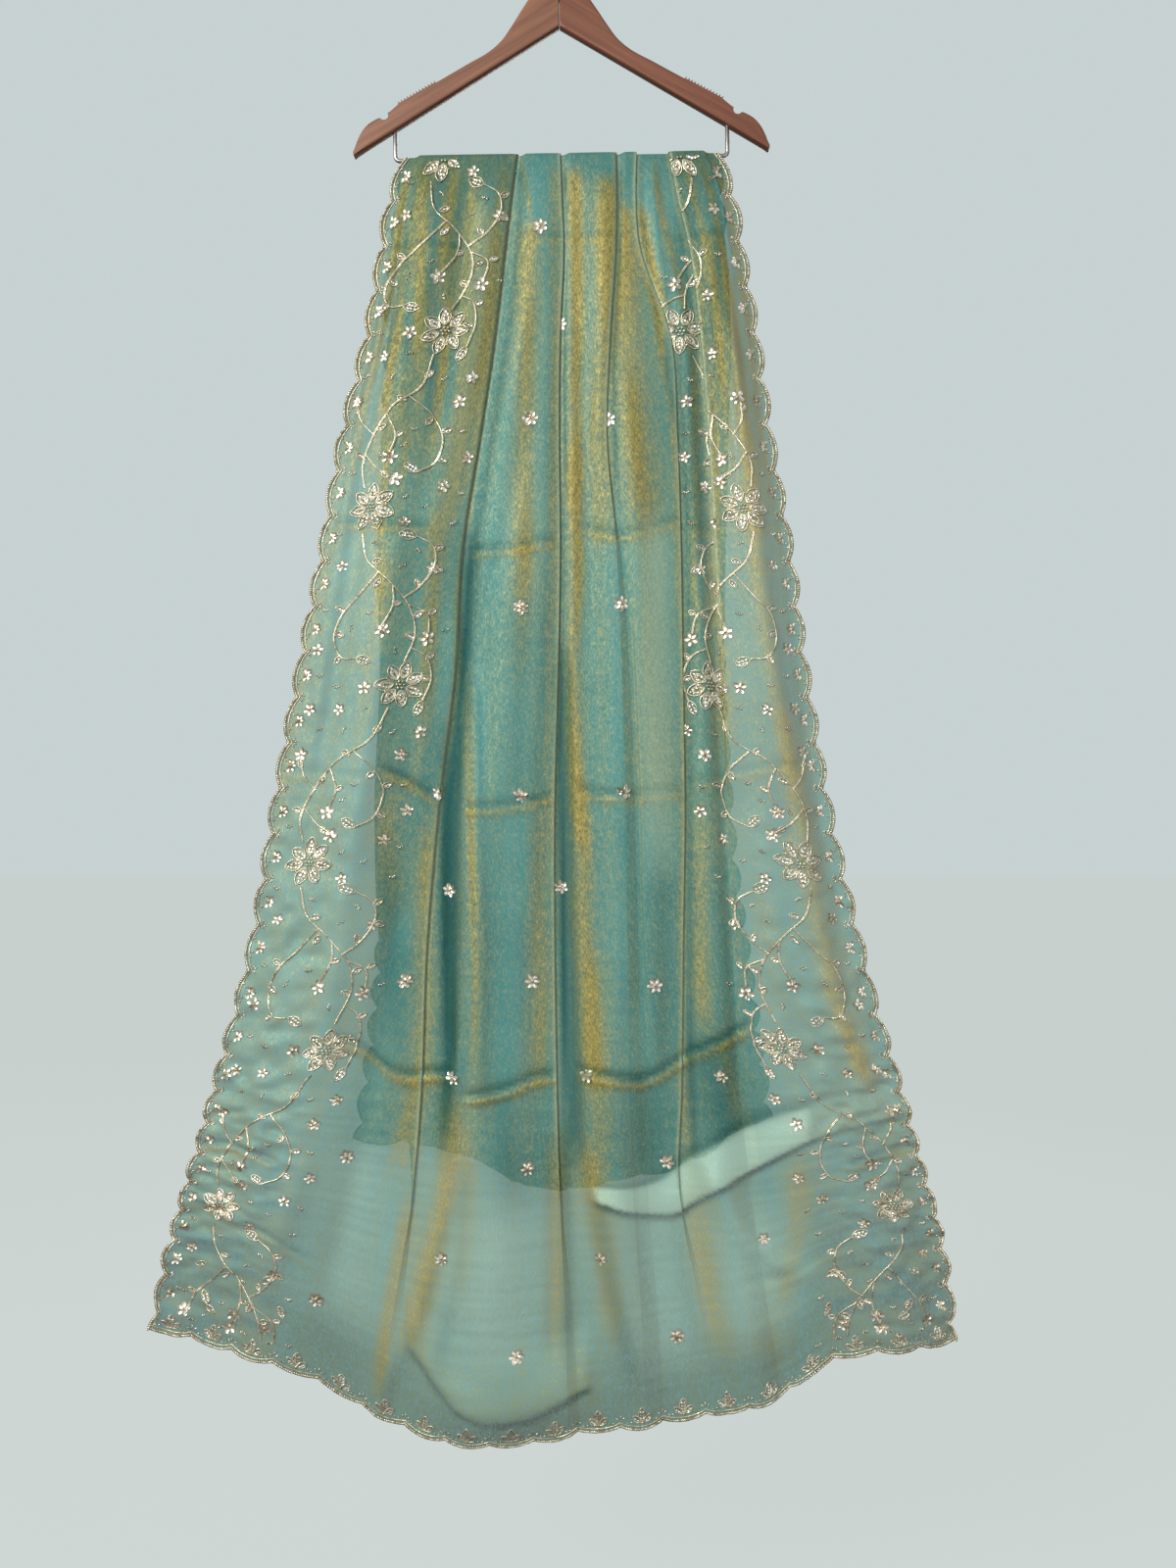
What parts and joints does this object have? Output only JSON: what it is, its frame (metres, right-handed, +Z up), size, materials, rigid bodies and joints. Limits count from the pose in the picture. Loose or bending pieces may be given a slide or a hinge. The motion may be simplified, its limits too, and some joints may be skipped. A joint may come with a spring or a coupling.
{
  "type": "dupatta stole on a wooden hanger",
  "caption": "Scalloped, embroidered tissue dupatta folded once over the trouser bar of a wooden hanger, its front fall pleated at the bar and fanned out to the hem",
  "frame": {"origin": "inside top of the hook, where a rail carries the hanger", "axes": "+Z up, +X to the right as seen from the front, front faces -Y"},
  "size_m": [0.8621, 0.0729, 1.6399],
  "materials": {
    "front_tissue": "sheer shot tissue, teal with a gold sheen",
    "back_tissue": "sheer shot tissue, teal with a gold sheen",
    "left_wood": "satin varnish",
    "right_wood": "satin varnish",
    "bright_steel": "bright plated"
  },
  "bodies": {
    "root": {"front_fall": "front_tissue", "back_fall": "back_tissue", "hanger_arm_left": "left_wood", "hanger_arm_right": "right_wood", "hanger_hook": "bright_steel", "trouser_bar": "bright_steel"}
  },
  "joints": []
}
